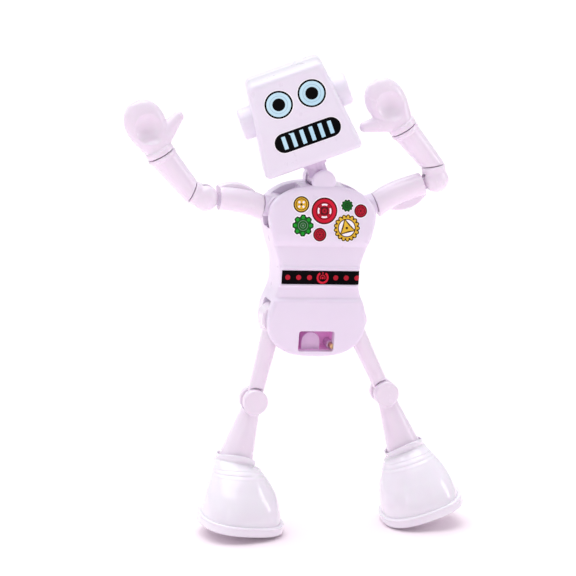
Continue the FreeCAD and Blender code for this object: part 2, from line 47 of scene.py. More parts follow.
PI = math.pi
scene = bpy.context.scene


# ---------------------------------------------------------------- the figure's own frames, in mm
def T(x, y, z):
    return Matrix.Translation((x, y, z))


def R(axis, deg):
    return Matrix.Rotation(math.radians(deg), 4, axis)


def dir2(deg):
    return Vector((math.cos(math.radians(deg)), 0.0, math.sin(math.radians(deg))))


JOINTS = {j["name"]: j for j in frame["joints"]}
LEAN, HEAD_TILT, HEAD_YAW, HEAD_RISE, NECK_Z = 3.4, -19.5, -10.0, 23.5, 58.6
TORSO = T(0, 0, 58.0) @ R("Y", LEAN)
NECK_P = TORSO @ Vector((0, 0, NECK_Z))
SHIFT = Vector(JOINTS["neck_tilt"]["pos_m"]) * 1000 - NECK_P
WORLD = Matrix.Scale(0.001, 4) @ Matrix.Translation(SHIFT)
NECK = T(*NECK_P) @ R("Y", HEAD_TILT)
HEAD = NECK @ T(0, 0, HEAD_RISE) @ R("Z", HEAD_YAW)
MIRROR = Matrix.Scale(-1, 4, Vector((1, 0, 0)))

THIGH_L, SHIN_L, BOOT_H, SOLE_T, SOLE_A, SOLE_B, SOLE_Y = 29.0, 20.3, 21.4, 3.4, 14.8, 14.2, -7.2
SOLE_X = 1.4
SPLAY = {"left": 9.5, "right": 4.0}
THIGH_ANG = {"left": 14.6, "right": 24.794}
SHIN_ANG = {"left": 17.3, "right": 19.9}
TOE_OUT = {"left": -7.0, "right": 0.0}
SIGN = {"left": -1.0, "right": 1.0}
LEG = {}
for side, s in SIGN.items():
    hip = TORSO @ Vector((s * 13.0, 0, 12.0))
    thigh = T(*hip) @ R("Y", -s * THIGH_ANG[side])
    knee = thigh @ Vector((0, 0, -THIGH_L))
    shin = T(*knee) @ R("Y", -s * SHIN_ANG[side])
    ankle = shin @ Vector((0, 0, -SHIN_L))
    foot = T(*ankle) @ shin.to_3x3().to_4x4() @ R("Z", s * TOE_OUT[side]) @ R("Y", s * SPLAY[side])
    LEG[side] = {"thigh": thigh, "shin": shin, "foot": foot}


# ---------------------------------------------------------------- mesh helpers
def link(name, me):
    o = bpy.data.objects.new(name, me)
    scene.collection.objects.link(o)
    return o


def mesh(name, verts, faces, mats=None):
    me = bpy.data.meshes.new(name)
    me.from_pydata([tuple(v) for v in verts], [], faces)
    if mats:
        me.polygons.foreach_set("material_index", mats)
    me.update()
    return link(name, me)


def bake(o):
    """Makes the modifiers' result the object's own mesh."""
    dg = bpy.context.evaluated_depsgraph_get()
    me = bpy.data.meshes.new_from_object(o.evaluated_get(dg))
    old = o.data
    o.modifiers.clear()
    o.data = me
    bpy.data.meshes.remove(old)
    return o


def drop(o):
    me = o.data
    bpy.data.objects.remove(o)
    bpy.data.meshes.remove(me)


def modifier(o, kind, **settings):
    m = o.modifiers.new(kind, kind)
    for k, v in settings.items():
        setattr(m, k, v)
    return m


def boolean(o, others, op="DIFFERENCE"):
    for c in others:
        modifier(o, "BOOLEAN", operation=op, object=c, solver="EXACT")
        bake(o)
        drop(c)
    return o


def edit(o, work):
    bm = bmesh.new()
    bm.from_mesh(o.data)
    work(bm)
    bm.to_mesh(o.data)
    bm.free()
    o.data.update()
    return o


def outward(o):
    return edit(o, lambda bm: bmesh.ops.recalc_face_normals(bm, faces=bm.faces))


def weld(o, d=1e-4):
    return edit(o, lambda bm: bmesh.ops.remove_doubles(bm, verts=bm.verts, dist=d))


def sharp(o, deg):
    """Smooth shading everywhere but at edges steeper than deg."""
    me = o.data
    me.polygons.foreach_set("use_smooth", [True] * len(me.polygons))
    if "sharp_edge" in me.attributes:
        me.attributes.remove(me.attributes["sharp_edge"])
    bm = bmesh.new()
    bm.from_mesh(me)
    lim = math.radians(deg)
    for e in bm.edges:
        if len(e.link_faces) == 2:
            e.smooth = e.calc_face_angle(0.0) < lim
    bm.to_mesh(me)
    bm.free()


def block(x0, x1, y0, y1, z0, z1):
    v = [(x, y, z) for z in (z0, z1) for y in (y0, y1) for x in (x0, x1)]
    f = [(0, 2, 3, 1), (4, 5, 7, 6), (0, 1, 5, 4), (2, 6, 7, 3), (0, 4, 6, 2), (1, 3, 7, 5)]
    return outward(mesh("cut", v, f))


def rings_mesh(name, rings, close=True, cap=True):
    """A skin over rings of equally many points, with both ends capped round their middles."""
    n = len(rings[0])
    verts = [Vector(p) for r in rings for p in r]
    faces = []
    for k in range(len(rings) - 1):
        for i in range(n):
            j = (i + 1) % n
            faces.append((k * n + i, k * n + j, (k + 1) * n + j, (k + 1) * n + i))
    if cap:
        for k in (0, len(rings) - 1):
            mid = sum((Vector(p) for p in rings[k]), Vector()) / n
            verts.append(mid)
            c = len(verts) - 1
            for i in range(n):
                faces.append((k * n + i, k * n + (i + 1) % n, c))
    return outward(mesh(name, verts, faces))


def turned(name, profile, n=64, axis="Z"):
    """profile is (radius, height) from one end to the other; a radius of 0 closes it."""
    rings = []
    for r, h in profile:
        ring = []
        for i in range(n):
            a = 2 * PI * i / n
            c, s = max(r, 1e-4) * math.cos(a), max(r, 1e-4) * math.sin(a)
            ring.append({"Z": (c, s, h), "Y": (c, h, s), "X": (h, c, s)}[axis])
        rings.append(ring)
    return rings_mesh(name, rings)


def rod(axis, centre, r, lo, hi, n=64):
    o = turned("cut", [(r, lo), (r, hi)], n, axis)
    o.data.transform(T(*centre))
    return o


def smooth_path(points, per=8, closed=False):
    """A Catmull-Rom line through points of any dimension."""
    n = len(points)
    out = []
    spans = n if closed else n - 1
    for k in range(spans):
        if closed:
            p0, p1, p2, p3 = (points[(k + d) % n] for d in (-1, 0, 1, 2))
        else:
            p0, p1, p2, p3 = (points[min(max(k + d, 0), n - 1)] for d in (-1, 0, 1, 2))
        for i in range(per):
            t = i / per
            out.append(tuple(0.5 * (2 * b + (c - a) * t + (2 * a - 5 * b + 4 * c - d) * t * t
                                    + (3 * b - a - 3 * c + d) * t ** 3) for a, b, c, d in zip(p0, p1, p2, p3)))
    if not closed:
        out.append(tuple(points[-1]))
    return out


def arc(cx, cy, r, a0, a1, n):
    return [(cx + r * math.cos(math.radians(a0 + (a1 - a0) * i / n)),
             cy + r * math.sin(math.radians(a0 + (a1 - a0) * i / n))) for i in range(n + 1)]


def place(o, name, matrix, body, material, nodes=(), angle=40.0):
    flip = (WORLD @ matrix).to_3x3().determinant() < 0
    o.data.transform(WORLD @ matrix)
    if flip:
        o.data.flip_normals()
    o.name = name
    o.data.name = name
    if not isinstance(material, (list, tuple)):
        material = [material]
    if len(material) == 1:
        o.data.materials.clear()
        o.data.polygons.foreach_set("material_index", [0] * len(o.data.polygons))
    for m in material:
        if len(o.data.materials) < len(material):
            o.data.materials.append(m)
    if angle:
        sharp(o, angle)
    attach(o, body)
    if nodes:
        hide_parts(*nodes)
    return o


def moulded(node, voxel=0.25, rounds=5, factor=0.5):
    """A new mesh of a CAD node's form, in mm, with the soft edges that a mould leaves."""
    me = frame["nodes"][node].data.copy()
    o = link("soft", me)
    me.materials.clear()
    me.transform(Matrix.Scale(1000, 4))
    weld(o, 2e-3)
    modifier(o, "REMESH", mode="VOXEL", voxel_size=voxel, adaptivity=0.0, use_smooth_shade=True)
    modifier(o, "SMOOTH", factor=factor, iterations=rounds)
    bake(o)
    return o


def place_moulded(node, name, body, material, voxel=0.25, rounds=5, factor=0.5):
    o = moulded(node, voxel, rounds, factor)
    o.data.transform(Matrix.Scale(0.001, 4))
    o.name = o.data.name = name
    o.data.materials.append(material)
    o.data.polygons.foreach_set("use_smooth", [True] * len(o.data.polygons))
    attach(o, body)
    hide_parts(node)
    return o


# ---------------------------------------------------------------- materials
def srgb(r, g, b):
    def lin(c):
        c /= 255
        return c / 12.92 if c <= 0.04045 else ((c + 0.055) / 1.055) ** 2.4
    return (lin(r), lin(g), lin(b), 1.0)


def plastic(name, low, high, rough=(0.2, 0.34), coat=0.3, sss=0.0, bump=0.05, mottle=55.0, grain=1900.0,
            edge=0.0, specks=0.0, sss_scale=0.0006, spec=0.5):
    """Moulded plastic: colour drifts slowly between low and high, gloss varies, a fine skin texture stands in the surface."""
    m = bpy.data.materials.new(name)
    m.use_nodes = True
    nt = m.node_tree
    nt.nodes.clear()
    new, wire = nt.nodes.new, nt.links.new
    out, bsdf = new("ShaderNodeOutputMaterial"), new("ShaderNodeBsdfPrincipled")
    wire(bsdf.outputs[0], out.inputs[0])
    tc = new("ShaderNodeTexCoord")
    broad = new("ShaderNodeTexNoise")
    broad.inputs["Scale"].default_value = mottle
    broad.inputs["Detail"].default_value = 4.0
    broad.inputs["Roughness"].default_value = 0.55
    wire(tc.outputs["Object"], broad.inputs["Vector"])
    ramp = new("ShaderNodeValToRGB")
    ramp.color_ramp.elements[0].position, ramp.color_ramp.elements[0].color = 0.36, low
    ramp.color_ramp.elements[1].position, ramp.color_ramp.elements[1].color = 0.64, high
    wire(broad.outputs["Fac"], ramp.inputs["Fac"])
    colour = ramp.outputs["Color"]
    # painted highlight: where pointiness marks a convex edge, the colour is lightened towards near-white to stand in
    # for rim highlights; every material here keeps edge at 0, so this is not used
    if edge:
        geo = new("ShaderNodeNewGeometry")
        er = new("ShaderNodeValToRGB")
        er.color_ramp.elements[0].position, er.color_ramp.elements[0].color = 0.505, (0, 0, 0, 1)
        er.color_ramp.elements[1].position, er.color_ramp.elements[1].color = 0.60, (edge, edge, edge, 1)
        wire(geo.outputs["Pointiness"], er.inputs["Fac"])
        mix = new("ShaderNodeMix")
        mix.data_type = "RGBA"
        wire(er.outputs["Color"], mix.inputs["Factor"])
        wire(colour, mix.inputs["A"])
        mix.inputs["B"].default_value = (0.96, 0.95, 0.98, 1)
        colour = mix.outputs["Result"]
    if specks:
        sp = new("ShaderNodeTexNoise")
        sp.inputs["Scale"].default_value = 620.0
        sp.inputs["Detail"].default_value = 2.0
        wire(tc.outputs["Object"], sp.inputs["Vector"])
        sr = new("ShaderNodeValToRGB")
        sr.color_ramp.elements[0].position, sr.color_ramp.elements[0].color = 0.70, (0, 0, 0, 1)
        sr.color_ramp.elements[1].position, sr.color_ramp.elements[1].color = 0.78, (specks, specks, specks, 1)
        wire(sp.outputs["Fac"], sr.inputs["Fac"])
        mix = new("ShaderNodeMix")
        mix.data_type = "RGBA"
        wire(sr.outputs["Color"], mix.inputs["Factor"])
        wire(colour, mix.inputs["A"])
        mix.inputs["B"].default_value = tuple(c * 0.72 for c in low[:3]) + (1,)
        colour = mix.outputs["Result"]
    wire(colour, bsdf.inputs["Base Color"])
    gl = new("ShaderNodeTexNoise")
    gl.inputs["Scale"].default_value = 260.0
    gl.inputs["Detail"].default_value = 5.0
    wire(tc.outputs["Object"], gl.inputs["Vector"])
    mr = new("ShaderNodeMapRange")
    mr.inputs["From Min"].default_value, mr.inputs["From Max"].default_value = 0.3, 0.7
    mr.inputs["To Min"].default_value, mr.inputs["To Max"].default_value = rough
    wire(gl.outputs["Fac"], mr.inputs["Value"])
    wire(mr.outputs["Result"], bsdf.inputs["Roughness"])
    fine = new("ShaderNodeTexNoise")
    fine.inputs["Scale"].default_value = grain
    fine.inputs["Detail"].default_value = 3.0
    wire(tc.outputs["Object"], fine.inputs["Vector"])
    wave = new("ShaderNodeTexNoise")
    wave.inputs["Scale"].default_value = 150.0
    wave.inputs["Detail"].default_value = 1.0
    wire(tc.outputs["Object"], wave.inputs["Vector"])
    b1, b2 = new("ShaderNodeBump"), new("ShaderNodeBump")
    b1.inputs["Strength"].default_value, b1.inputs["Distance"].default_value = bump, 0.00006
    b2.inputs["Strength"].default_value, b2.inputs["Distance"].default_value = bump * 2.0, 0.0003
    wire(fine.outputs["Fac"], b1.inputs["Height"])
    wire(wave.outputs["Fac"], b2.inputs["Height"])
    wire(b2.outputs["Normal"], b1.inputs["Normal"])
    wire(b1.outputs["Normal"], bsdf.inputs["Normal"])
    bsdf.inputs["IOR"].default_value = 1.49
    bsdf.inputs["Coat Weight"].default_value = coat
    bsdf.inputs["Specular IOR Level"].default_value = spec
    bsdf.inputs["Coat Roughness"].default_value = 0.12
    if sss:
        bsdf.inputs["Subsurface Weight"].default_value = sss
        bsdf.inputs["Subsurface Radius"].default_value = (1.0, 0.55, 0.85)
        bsdf.inputs["Subsurface Scale"].default_value = sss_scale
    return m


def metal(name, low, high, rough=(0.22, 0.42)):
    m = plastic(name, low, high, rough, coat=0.0, bump=0.12, mottle=400.0)
    b = next(n for n in m.node_tree.nodes if n.type == "BSDF_PRINCIPLED")
    b.inputs["Metallic"].default_value = 1.0
    return m


HEADW = plastic("head_plastic", (0.835, 0.79, 0.885, 1), (0.85, 0.81, 0.9, 1), rough=(0.27, 0.33), bump=0.02, sss=0.15, specks=0.006)
WHITE = plastic("white_plastic", (0.835, 0.755, 0.885, 1), (0.85, 0.77, 0.895, 1), rough=(0.27, 0.33), bump=0.02, sss=0.15, specks=0.006)
LIMB = plastic("limb_plastic", (0.86, 0.77, 0.87, 1), (0.875, 0.79, 0.885, 1), rough=(0.16, 0.28), coat=0.4, sss=0.2, specks=0.05)
BOOT = plastic("boot_plastic", (0.875, 0.835, 0.905, 1), (0.89, 0.855, 0.92, 1), rough=(0.1, 0.18), coat=0.65, sss=0.2)
# painted shade: the neck post gets a darker purple tone that stands in for the shade under the head
NECK = plastic("neck_painted_shade_plastic", (0.68, 0.55, 0.73, 1), (0.72, 0.59, 0.76, 1), sss=0.1)
# painted shade: a darker pink for the post and boss seen through the window, standing in for the shade in the recess
INNER_PAINTED_SHADE = plastic("inner_plastic", (0.72, 0.47, 0.72, 1), (0.76, 0.52, 0.75, 1), rough=(0.3, 0.45), sss=0.1)
BLACK = plastic("print_black", srgb(1, 1, 2), srgb(7, 5, 7), rough=(0.5, 0.62), coat=0.0, bump=0.03, spec=0.05)
BLUE = plastic("print_blue", srgb(184, 226, 241), srgb(203, 238, 247), rough=(0.42, 0.56), coat=0.0, bump=0.03, spec=0.12)
BLUE_LINE = plastic("print_blue_line", srgb(150, 188, 210), srgb(168, 204, 222), rough=(0.42, 0.56), coat=0.0, spec=0.2)
HALO = plastic("print_white", srgb(248, 244, 250), srgb(255, 252, 255), rough=(0.42, 0.56), coat=0.0, spec=0.2)
RED = plastic("print_red", srgb(200, 10, 40), srgb(226, 26, 58), rough=(0.42, 0.56), coat=0.0, spec=0.2)
CRIMSON = plastic("print_crimson", srgb(176, 10, 36), srgb(196, 24, 50), rough=(0.42, 0.56), coat=0.0, spec=0.2)
MAROON = plastic("print_maroon", srgb(74, 0, 14), srgb(98, 4, 22), rough=(0.42, 0.56), coat=0.0, spec=0.2)
GREEN = plastic("print_green", srgb(14, 150, 30), srgb(30, 176, 44), rough=(0.42, 0.56), coat=0.0, spec=0.2)
DGREEN = plastic("print_dark_green", srgb(4, 82, 16), srgb(8, 104, 24), rough=(0.42, 0.56), coat=0.0, spec=0.2)
INK = plastic("print_outline", srgb(4, 36, 8), srgb(10, 50, 14), rough=(0.42, 0.56), coat=0.0, spec=0.2)
GREY = plastic("print_grey_green", srgb(96, 130, 104), srgb(124, 156, 128), rough=(0.42, 0.56), coat=0.0, spec=0.2)
GOLD = plastic("print_gold", srgb(214, 162, 30), srgb(236, 194, 58), rough=(0.42, 0.56), coat=0.0, spec=0.2)
BROWN = plastic("print_brown", srgb(58, 30, 2), srgb(82, 48, 8), rough=(0.42, 0.56), coat=0.0, spec=0.2)
BRASS = metal("brass", srgb(196, 160, 110), srgb(222, 190, 140))
STEEL = metal("steel", srgb(150, 150, 154), srgb(190, 190, 194))
PRINTS = [BLACK, BLUE, BLUE_LINE, HALO, RED, CRIMSON, MAROON, GREEN, DGREEN, INK, GREY, GOLD, BROWN]
INDEX = {m.name: i for i, m in enumerate(PRINTS)}


# ---------------------------------------------------------------- printed patches
class Print:
    """Thin layers of ink: each is a low prism over a plane, placed by at(u, v, h)."""

    def __init__(self, at):
        self.at, self.v, self.f, self.m = at, [], [], []

    def _add(self, faces, mat):
        self.f += faces
        self.m += [INDEX[mat.name]] * len(faces)

    def poly(self, pts, h0, h1, mat, mid=None):
        n, b = len(pts), len(self.v)
        cx, cy = mid or (sum(p[0] for p in pts) / n, sum(p[1] for p in pts) / n)
        for h in (h0, h1):
            self.v += [self.at(x, y, h) for x, y in pts]
        self.v += [self.at(cx, cy, h0), self.at(cx, cy, h1)]
        f = []
        for i in range(n):
            j = (i + 1) % n
            f += [(b + i, b + j, b + n + j, b + n + i), (b + n + i, b + n + j, b + 2 * n + 1), (b + j, b + i, b + 2 * n)]
        self._add(f, mat)

    def disc(self, x, y, r, h0, h1, mat, n=72):
        self.poly([(x + r * math.cos(2 * PI * i / n), y + r * math.sin(2 * PI * i / n)) for i in range(n)], h0, h1, mat, (x, y))

    def ring(self, x, y, r0, r1, h0, h1, mat, n=72, a0=0.0, a1=360.0):
        whole = abs(a1 - a0 - 360) < 1e-6
        k = n if whole else n + 1
        b = len(self.v)
        for i in range(k):
            a = math.radians(a0 + (a1 - a0) * i / n)
            for r, h in ((r0, h0), (r0, h1), (r1, h1), (r1, h0)):
                self.v.append(self.at(x + r * math.cos(a), y + r * math.sin(a), h))
        f = []
        for i in range(n):
            p, q = b + 4 * i, b + 4 * ((i + 1) % k)
            for c in range(4):
                d = (c + 1) % 4
                f.append((p + c, q + c, q + d, p + d))
        if not whole:
            f += [(b, b + 1, b + 2, b + 3), (b + 4 * n + 3, b + 4 * n + 2, b + 4 * n + 1, b + 4 * n)]
        self._add(f, mat)

    def gear(self, x, y, radius, h0, h1, mat, n=144):
        """radius is a function of the angle in degrees."""
        self.poly([(x + radius(360 * i / n) * math.cos(2 * PI * i / n), y + radius(360 * i / n) * math.sin(2 * PI * i / n))
                   for i in range(n)], h0, h1, mat, (x, y))

    def done(self, name, matrix, body, nodes, slot):
        o = mesh(name, self.v, self.f, self.m)
        outward(o)
        for m in PRINTS:
            o.data.materials.append(m)
        used = sorted(set(self.m))
        keep = {old: new for new, old in enumerate(used)}
        idx = [keep[p.material_index] for p in o.data.polygons]
        o.data.materials.clear()
        for u in used:
            o.data.materials.append(PRINTS[u])
        o.data.polygons.foreach_set("material_index", idx)
        o.data.transform(WORLD @ matrix)
        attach(o, body)
        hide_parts(*nodes)
        return o


def teeth(r, depth, count, duty=0.5, soft=0.35, turn=0.0):
    def f(deg):
        t = ((deg - turn) * count / 360.0) % 1.0
        t = abs(t - 0.5) * 2          # 1 at the tooth, 0 in the gap
        w = min(max((t - (1 - duty) + soft / 2) / soft, 0), 1)
        return r - depth * (1 - w * w * (3 - 2 * w))
    return f


# ---------------------------------------------------------------- torso
SHELL_DY = 1.6
HALF = [(3.4, 0.08), (8.2, 0.8), (12.3, 2.7), (15.0, 5.4), (16.4, 8.6), (16.75, 11.8),
        (16.4, 15.2), (15.4, 18.7), (14.3, 21.6), (13.7, 24.2), (13.6, 27.0), (13.8, 30.2),
        (14.6, 33.6), (15.9, 37.2), (17.2, 41.8), (18.1, 45.6), (18.2, 48.6), (17.2, 51.4),
        (14.9, 53.9), (11.2, 56.0), (6.2, 57.25)]
TORSO_H = 57.6
OUTLINE = [(0, 0)] + HALF + [(0, TORSO_H)] + [(-x, z) for x, z in reversed(HALF)]
BELT_Z0, BELT_Z1, BELT_SHIFT = 24.6, 29.4, 0.9
FACE = [(66.0, -6.6), (57.6, -7.3), (41.0, -9.3), (39.2, -9.15), (38.2, -8.75), (37.4, -8.15), (36.6, -8.15), (30.75, -8.4),
        (30.45, -8.85), (30.1, -8.95), (29.55, -8.95), (29.4, -8.45), (29.3, -8.4), (24.7, -8.4), (24.6, -8.45), (24.45, -8.95),
        (23.95, -8.95), (23.6, -8.4), (23.2, -8.35), (19.9, -8.02), (19.2, -8.85), (18.7, -9.1), (12.0, -9.3), (0.0, -8.5), (-4.0, -8.3)]


def face_y(z, blur=0.16):
    """The front's depth at a height, with its creases slightly rounded."""
    def at(z):
        for (z1, y1), (z0, y0) in zip(FACE, FACE[1:]):
            if z0 <= z <= z1:
                return y0 + (y1 - y0) * (z - z0) / (z1 - z0)
        return FACE[0][1] if z > FACE[0][0] else FACE[-1][1]
    return sum(at(z + blur * k / 3) for k in range(-3, 4)) / 7 + SHELL_DY


def inward(points, d):
    n = len(points)
    out = []
    for i in range(n):
        a, b = Vector(points[i - 1]), Vector(points[(i + 1) % n])
        t = (b - a).normalized()
        out.append((points[i][0] - t.y * d, points[i][1] + t.x * d))   # the outline runs anticlockwise
    return out


def torso_front():
    line = smooth_path(OUTLINE, 6, closed=True)
    rim_w, rim_h = 1.7, 1.25
    steps = [0.0, 0.05, 0.14, 0.28, 0.46, 0.68, 0.92, 1.18, 1.45, 1.7]
    rings = [inward(line, d) for d in steps]
    n = len(line)
    bm = bmesh.new()
    lay = bm.verts.layers.float.new("inset")
    loops = []
    for d, ring in zip(steps, rings):
        vs = []
        for x, z in ring:
            v = bm.verts.new((x, 0, z))
            v[lay] = d
            vs.append(v)
        loops.append(vs)
    for a, b in zip(loops, loops[1:]):
        for i in range(n):
            j = (i + 1) % n
            bm.faces.new((a[i], a[j], b[j], b[i]))
    bm.faces.new(loops[-1])
    levels = [z * 0.16 + 18.3 for z in range(12)] + [z * 0.13 + 23.3 for z in range(14)] + [z * 0.13 + 28.9 for z in range(17)]
    levels += [36.2 + 0.22 * k for k in range(22)] + [1.6 * k for k in range(1, 37)]
    for z in sorted(set(round(z, 3) for z in levels)):
        geom = bm.verts[:] + bm.edges[:] + bm.faces[:]
        bmesh.ops.bisect_plane(bm, geom=geom, plane_co=(0, 0, z), plane_no=(0, 0, 1), dist=1e-4)
    inner = [f for f in bm.faces if all(v[lay] > 1.6 for v in f.verts)]
    for x in [k * 2.0 for k in range(-8, 9)]:
        inner = [f for f in bm.faces if f.is_valid and all(abs(v.co.x) < 18 for v in f.verts) and f.calc_area() > 0.05]
        geom = list({v for f in inner for v in f.verts}) + list({e for f in inner for e in f.edges}) + inner
        bmesh.ops.bisect_plane(bm, geom=geom, plane_co=(x, 0, 0), plane_no=(1, 0, 0), dist=1e-4)
    # how far each point lies inside the outline, measured again because the cuts made new points
    flat = [Vector(p) for p in line]
    edge = []
    for v in bm.verts:
        p = Vector((v.co.x, v.co.z))
        best = 9.0
        for i in range(n):
            a, b = flat[i - 1], flat[i]
            ab = b - a
            t = max(0.0, min(1.0, (p - a).dot(ab) / ab.length_squared))
            best = min(best, (p - a - ab * t).length)
        edge.append((v, best))
    for v, d in edge:
        k = max(0.0, 1 - d / rim_w)
        v.co.y = face_y(v.co.z) + rim_h * (1 - math.sqrt(max(0.0, 1 - k ** 2.2)))
    # walls back to the parting plane, then a flat closing face
    rim = [e for e in bm.edges if len(e.link_faces) == 1]
    got = bmesh.ops.extrude_edge_only(bm, edges=rim)
    new = [g for g in got["geom"] if isinstance(g, bmesh.types.BMVert)]
    for v in new:
        v.co.y = SHELL_DY - 0.12
    got = bmesh.ops.extrude_edge_only(bm, edges=[e for e in bm.edges if len(e.link_faces) == 1])
    new = [g for g in got["geom"] if isinstance(g, bmesh.types.BMVert)]
    mid = Vector((0, 0, TORSO_H / 2))
    for v in new:
        p = v.co - mid
        v.co.x -= 0.12 * (1 if v.co.x > 0 else -1) * min(1, abs(v.co.x))
        v.co.y = SHELL_DY
    bmesh.ops.contextual_create(bm, geom=[e for e in bm.edges if len(e.link_faces) == 1])
    bmesh.ops.remove_doubles(bm, verts=bm.verts, dist=1e-5)
    bmesh.ops.recalc_face_normals(bm, faces=bm.faces)
    me = bpy.data.meshes.new("front")
    bm.to_mesh(me)
    bm.free()
    o = link("front", me)
    q, k = SHELL_DY, 4.25
    # the half-round tab before the neck joint
    tab = turned("tab", [(0, -3.9), (4.05, -3.9), (4.1, -4.3), (4.05, -4.6), (3.85, -4.92), (3.5, -5.14), (3.1, -5.2), (1.5, -5.26), (0, -5.28)], 96, "Y")
    tab.data.transform(T(0, 0, NECK_Z))
    boolean(o, [tab], "UNION")
    cuts = [block(-30, 30, -k, k, -3, 18.2), block(7.6, 30, -k, k, 42.6, 70), block(-30, -7.6, -k, k, 42.6, 70),
            rod("Y", (0, 0, NECK_Z), 4.5, -k, k), block(-12.0, 12.0, -4.7, 4, 20.5, 38), block(-7.5, 7.5, -4.7, 4, 37, 53)]
    # the window, with rounded corners
    w, h, r = 6.1, 3.5, 0.8
    pts = []
    for cx, cz, a in ((w - r, h - r, 0), (-w + r, h - r, 90), (-w + r, -h + r, 180), (w - r, -h + r, 270)):
        pts += arc(cx, 5.4 + cz, r, a, a + 90, 6)
    cuts.append(rings_mesh("cut", [[(x, -12, z) for x, z in pts], [(x, -3, z) for x, z in pts]]))
    boolean(o, cuts)
    return o


front = torso_front()
place(front, "chest_and_pelvis_plate", TORSO, "torso", WHITE, ("torso_front_shell",), 32)

# painted shade: the chamber behind the window is in a deeper pink than the domed post that stands in it, both darker
# than the white plastic to stand in for the shade in the recess
DEEP_PAINTED_SHADE_GLOW = plastic("chamber_painted_shade_and_glow", (0.95, 0.45, 0.86, 1), (0.98, 0.51, 0.91, 1), rough=(0.3, 0.45), sss=0.1)
# painted glow: a faint pink emission stands in for daylight coming through the thin walls behind it
painted_glow_bsdf = next(n for n in DEEP_PAINTED_SHADE_GLOW.node_tree.nodes if n.type == "BSDF_PRINCIPLED")
painted_glow_bsdf.inputs["Emission Color"].default_value = (1.0, 0.48, 0.82, 1)
painted_glow_bsdf.inputs["Emission Strength"].default_value = 0.085
core = block(-7.0, 7.0, -4.25, 4.25, 1.2, 16.5)
boolean(core, [block(-6.4, 6.4, -6, 1.6, 2.1, 12.5)])
post = block(-4.3, 1.9, -4.2, 3.0, 1.6, 4.9)
dome = turned("dome", [(0, -4.25), (2.75, -4.25), (2.95, -4.19), (3.07, -4.05), (3.1, -3.9), (3.1, 3.0), (0, 3.0)], 72, "Y")
dome.data.transform(T(-1.2, 0, 4.9))
boolean(post, [dome], "UNION")
boolean(core, [post], "UNION")
boss = rod("Y", (6.0, 0, 3.5), 1.5, -3.3, 2.0, 48)
boolean(core, [boss], "UNION")
boolean(core, [rod("Y", (x, 0, 3.5), 0.9, -6, 8, 40) for x in (-7.6, 6.0)])
# painted shade: the chamber's sides, roof, floor and back wall, away from the boss, take the deeper pink; the post's
# front and the boss take the lighter one
painted_shade_tones = [1 if (abs(p.center.x) > 6.3 or p.center.z > 12.4 or p.center.z < 2.2 or p.center.y > 1.5) and
         math.hypot(p.center.x - 6.0, p.center.z - 3.5) > 1.55 else 0 for p in core.data.polygons]
core.data.polygons.foreach_set("material_index", painted_shade_tones)
place(core, "window_chamber", TORSO, "torso", [INNER_PAINTED_SHADE, DEEP_PAINTED_SHADE_GLOW], ("hip_core",), 30)

# belt: a band of black ink in its channel, red dots and a plain ring-and-wedge badge
by = -8.4 + SHELL_DY


line = smooth_path(OUTLINE, 6, closed=True)


def half_width(z):
    best = 0
    for (x0, z0), (x1, z1) in zip(line, line[1:]):
        if x0 > 0 and min(z0, z1) <= z <= max(z0, z1):
            best = max(best, x0 if abs(z1 - z0) < 1e-6 else x0 + (x1 - x0) * (z - z0) / (z1 - z0))
    return best


EDGE = half_width(27.0)


def belt_at(u, v, h):
    """The band lies flat on the channel's floor and follows the rounded rim at either end."""
    d = max(EDGE - abs(u), 0.06)
    if d >= 1.7:
        return (u, by - 0.02 - h, v)
    k = 1 - d / 1.7
    y = by + 1.25 * (1 - math.sqrt(1 - k ** 2.2))
    slope_ = 1.25 * 1.1 * k ** 1.2 / math.sqrt(1 - k ** 2.2) / 1.7
    size = math.hypot(1, slope_)
    return (u + math.copysign((0.02 + h) * slope_ / size, u), y - (0.02 + h) / size, v)


belt = Print(belt_at)
hw = EDGE - 1.7
z0, z1 = BELT_Z0 + 0.14, BELT_Z1 - 0.14
corner = 0.18
pts = []
for cx, cz, a in ((hw - corner, z1 - corner, 0), (-hw + corner, z1 - corner, 90), (-hw + corner, z0 + corner, 180), (hw - corner, z0 + corner, 270)):
    pts += arc(cx, cz, corner, a, a + 90, 5)
belt.poly([(-hw, z0), (hw, z0), (hw, z1), (-hw, z1)], 0.0, 0.15, BLACK, (0, 27.0))
for s, short in ((-1, 0.7), (1, 0.12)):
    stops = [hw + (EDGE - short - hw) * k / 14 for k in range(15)]
    b = len(belt.v)
    for u in stops:
        for v, h in ((z0, 0.0), (z1, 0.0), (z1, 0.15), (z0, 0.15)):
            belt.v.append(belt_at(s * u, v, h))
    f = [(b + 4 * i + c, b + 4 * i + (c + 1) % 4, b + 4 * i + 4 + (c + 1) % 4, b + 4 * i + 4 + c) for i in range(14) for c in range(4)]
    belt._add(f + [(b, b + 1, b + 2, b + 3), (b + 59, b + 58, b + 57, b + 56)], BLACK)
belt.done("belt_band", TORSO, "torso", ("waist_belt",), "belt_black")
dots = Print(belt_at)
for x in (-11.9, -8.2, -4.5, 4.5, 8.1):
    dots.disc(BELT_SHIFT + x, 27.0, 0.86, 0.15, 0.21, CRIMSON, 40)
x = BELT_SHIFT + 11.75
dots.disc(x, 27.0, 0.24, 0.15, 0.21, CRIMSON, 40)
for r0, r1 in ((0.24, 0.45), (0.45, 0.66), (0.66, 0.86)):
    dots.ring(x, 27.0, r0, r1, 0.15, 0.21, CRIMSON, 40)
dots.done("belt_dots", TORSO, "torso", ("belt_studs",), "belt_red")
badge = Print(belt_at)
badge.ring(BELT_SHIFT, 27.0, 1.38, 2.05, 0.15, 0.22, RED, 72, 122, 418)
badge.ring(BELT_SHIFT, 27.0, 0.62, 1.0, 0.15, 0.21, CRIMSON, 48, -35, 215)
